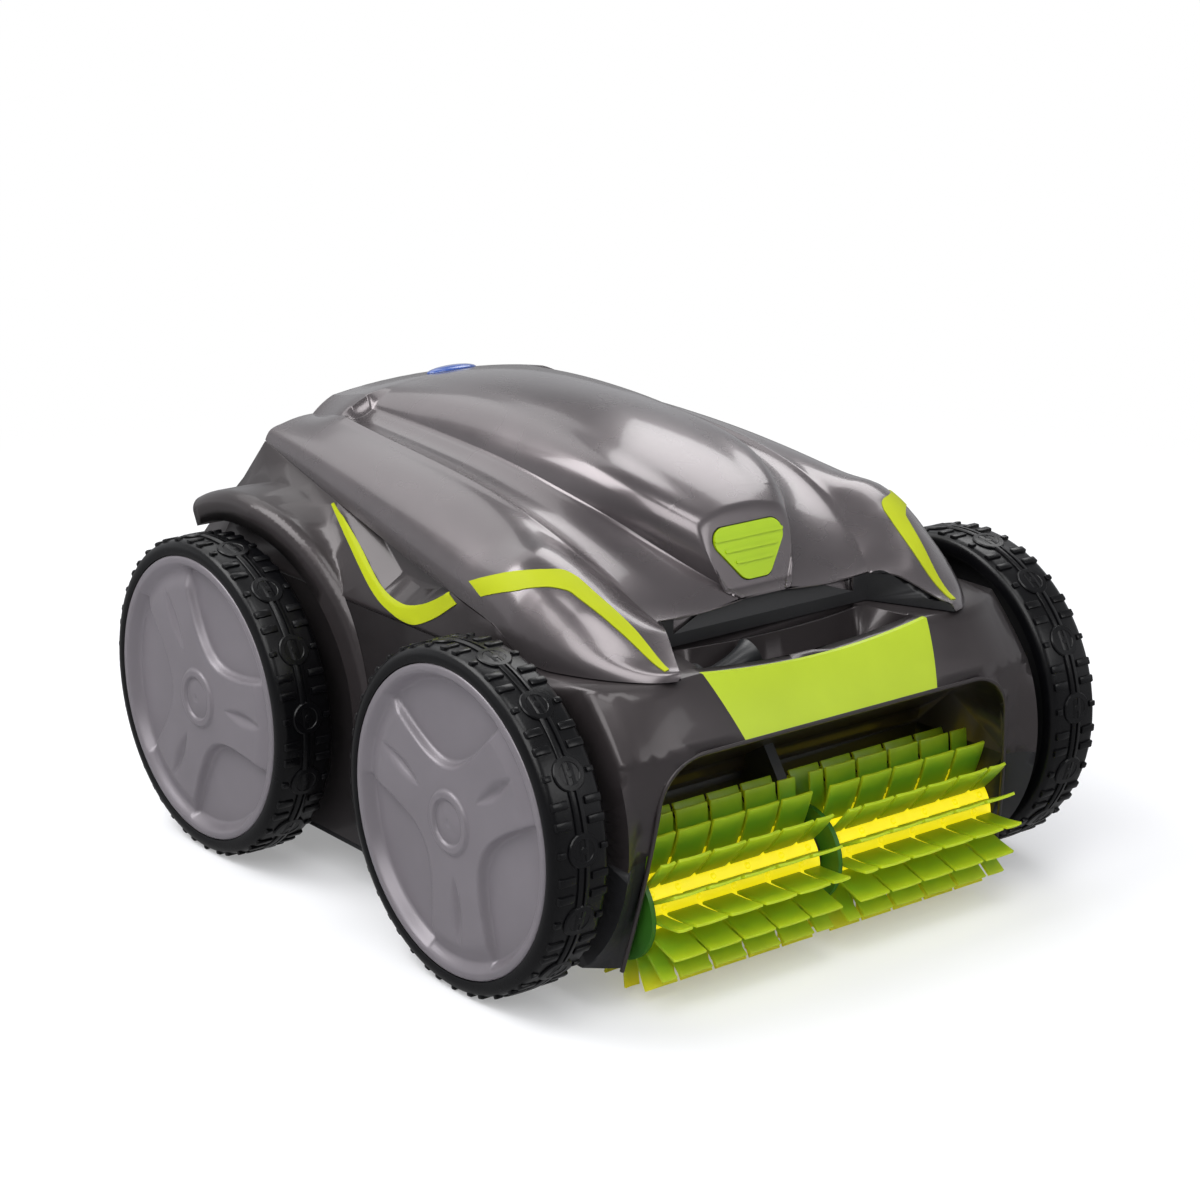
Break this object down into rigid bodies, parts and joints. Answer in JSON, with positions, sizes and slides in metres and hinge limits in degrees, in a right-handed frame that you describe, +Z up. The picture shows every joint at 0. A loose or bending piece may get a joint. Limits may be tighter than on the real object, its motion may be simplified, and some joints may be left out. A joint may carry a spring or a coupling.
{
  "type": "robotic pool cleaner",
  "caption": "Wheeled robotic pool cleaner with a domed hinged hood, finned front brush, carry handle, geared wheels and a suction path through a lift-out filter basket.",
  "frame": {"origin": "on the floor under the middle of the machine", "axes": "+Z up, the brush and carry handle face -Y, +X is to the right seen from the front"},
  "size_m": [0.398, 0.464, 0.279],
  "materials": {
    "shell": "satin dark grey",
    "hood": "glossy metallic anthracite",
    "chassis": "matt black",
    "cover": "matt dark grey",
    "grip": "satin yellow green",
    "button": "satin green",
    "badge": "glossy blue",
    "tyre": "matt black rubber",
    "rim": "matt black",
    "hubcap": "satin warm grey",
    "gear": "natural acetal",
    "bush": "natural acetal",
    "steel": "bright drawn",
    "core": "satin yellow",
    "fins": "soft green",
    "flange": "satin dark green",
    "inner": "matt dark grey",
    "gland": "matt black rubber",
    "elbow": "satin black",
    "basket": "matt grey",
    "mesh": "fine white mesh",
    "lid": "satin grey",
    "lift": "satin yellow green",
    "propeller": "satin dark grey"
  },
  "bodies": {
    "machine": {"axle_bushes": "bush", "brush_arm": "inner", "brush_bush": "bush", "cable_elbow": "elbow", "cable_gland": "gland", "chassis": "chassis", "filter_basket": "basket", "filter_lid": "lid", "filter_mesh": "mesh", "handle_grip": "grip", "hinge_pins": "steel", "motor_block": "inner", "motor_cover": "inner", "outlet_duct": "inner", "outlet_grille": "inner", "side_cover_left": "cover", "side_cover_right": "cover", "suction_nozzle": "inner", "upper_shell": "shell"},
    "hood": {"hood": "hood", "badge": "badge", "latch_spring": "steel"},
    "button": {"latch_button": "button"},
    "drive_left": {"drive_gear_left": "gear", "drive_shaft_left": "steel"},
    "flap_left": {"inlet_flap_left": "basket"},
    "wheel_front_left": {"tyre_front_left": "tyre", "rim_front_left": "rim", "hubcap_front_left": "hubcap", "axle_front_left": "steel", "wheel_gear_front_left": "gear"},
    "wheel_rear_left": {"tyre_rear_left": "tyre", "rim_rear_left": "rim", "hubcap_rear_left": "hubcap", "axle_rear_left": "steel", "wheel_gear_rear_left": "gear"},
    "drive_right": {"drive_gear_right": "gear", "drive_shaft_right": "steel"},
    "flap_right": {"inlet_flap_right": "basket"},
    "wheel_front_right": {"tyre_front_right": "tyre", "rim_front_right": "rim", "hubcap_front_right": "hubcap", "axle_front_right": "steel", "wheel_gear_front_right": "gear"},
    "wheel_rear_right": {"tyre_rear_right": "tyre", "rim_rear_right": "rim", "hubcap_rear_right": "hubcap", "axle_rear_right": "steel", "wheel_gear_rear_right": "gear"},
    "brush": {"brush_shaft": "steel", "brush_core_left": "core", "brush_core_right": "core", "brush_fins_left": "fins", "brush_fins_right": "fins", "brush_flange_left": "flange", "brush_flange_right": "flange"},
    "propeller": {"propeller": "propeller", "pump_shaft": "steel"},
    "lift_handle": {"filter_handle": "lift"}
  },
  "joints": [
    {"name": "hood_hinge", "type": "hinge", "parent": "machine", "child": "hood", "pos_m": [0, 0.1885, 0.231], "axis": [-1, 0, 0], "range_deg": [0, 75]},
    {"name": "button_push", "type": "slide", "parent": "hood", "child": "button", "axis": [0, 0.9317, -0.3633], "range_m": [0, 0.004], "stiffness_N_per_m": 600, "deforming": ["latch_spring"]},
    {"name": "wheel_front_left_spin", "type": "hinge", "parent": "machine", "child": "wheel_front_left", "pos_m": [-0.18, -0.1255, 0.0975], "axis": [1, 0, 0], "continuous": true},
    {"name": "wheel_rear_left_spin", "type": "hinge", "parent": "machine", "child": "wheel_rear_left", "pos_m": [-0.18, 0.1345, 0.0975], "axis": [1, 0, 0], "continuous": true},
    {"name": "drive_left_spin", "type": "hinge", "parent": "machine", "child": "drive_left", "pos_m": [-0.13846, 0.0045, 0.0975], "axis": [1, 0, 0], "continuous": true},
    {"name": "wheel_front_right_spin", "type": "hinge", "parent": "machine", "child": "wheel_front_right", "pos_m": [0.18, -0.1255, 0.0975], "axis": [1, 0, 0], "continuous": true},
    {"name": "wheel_rear_right_spin", "type": "hinge", "parent": "machine", "child": "wheel_rear_right", "pos_m": [0.18, 0.1345, 0.0975], "axis": [1, 0, 0], "continuous": true},
    {"name": "drive_right_spin", "type": "hinge", "parent": "machine", "child": "drive_right", "pos_m": [0.13846, 0.0045, 0.0975], "axis": [1, 0, 0], "continuous": true},
    {"name": "brush_spin", "type": "hinge", "parent": "machine", "child": "brush", "pos_m": [0, -0.185, 0.05], "axis": [1, 0, 0], "continuous": true},
    {"name": "propeller_spin", "type": "hinge", "parent": "machine", "child": "propeller", "pos_m": [0, 0.137, 0.13], "axis": [0, 1, 0], "continuous": true},
    {"name": "flap_left_swing", "type": "hinge", "parent": "machine", "child": "flap_left", "pos_m": [-0.043, -0.079, 0.1468], "axis": [0, -1, 0], "range_deg": [0, 75]},
    {"name": "flap_right_swing", "type": "hinge", "parent": "machine", "child": "flap_right", "pos_m": [0.043, -0.079, 0.1468], "axis": [0, 1, 0], "range_deg": [0, 75]},
    {"name": "lift_handle_fold", "type": "hinge", "parent": "machine", "child": "lift_handle", "pos_m": [0, 0.009, 0.21405], "axis": [-1, 0, 0], "range_deg": [0, 90]}
  ],
  "couplings": [
    {"joint": "drive_left_spin", "follows": "wheel_front_left_spin", "ratio": -1},
    {"joint": "wheel_rear_left_spin", "follows": "wheel_front_left_spin", "ratio": 1},
    {"joint": "drive_right_spin", "follows": "wheel_front_right_spin", "ratio": -1},
    {"joint": "wheel_rear_right_spin", "follows": "wheel_front_right_spin", "ratio": 1}
  ]
}
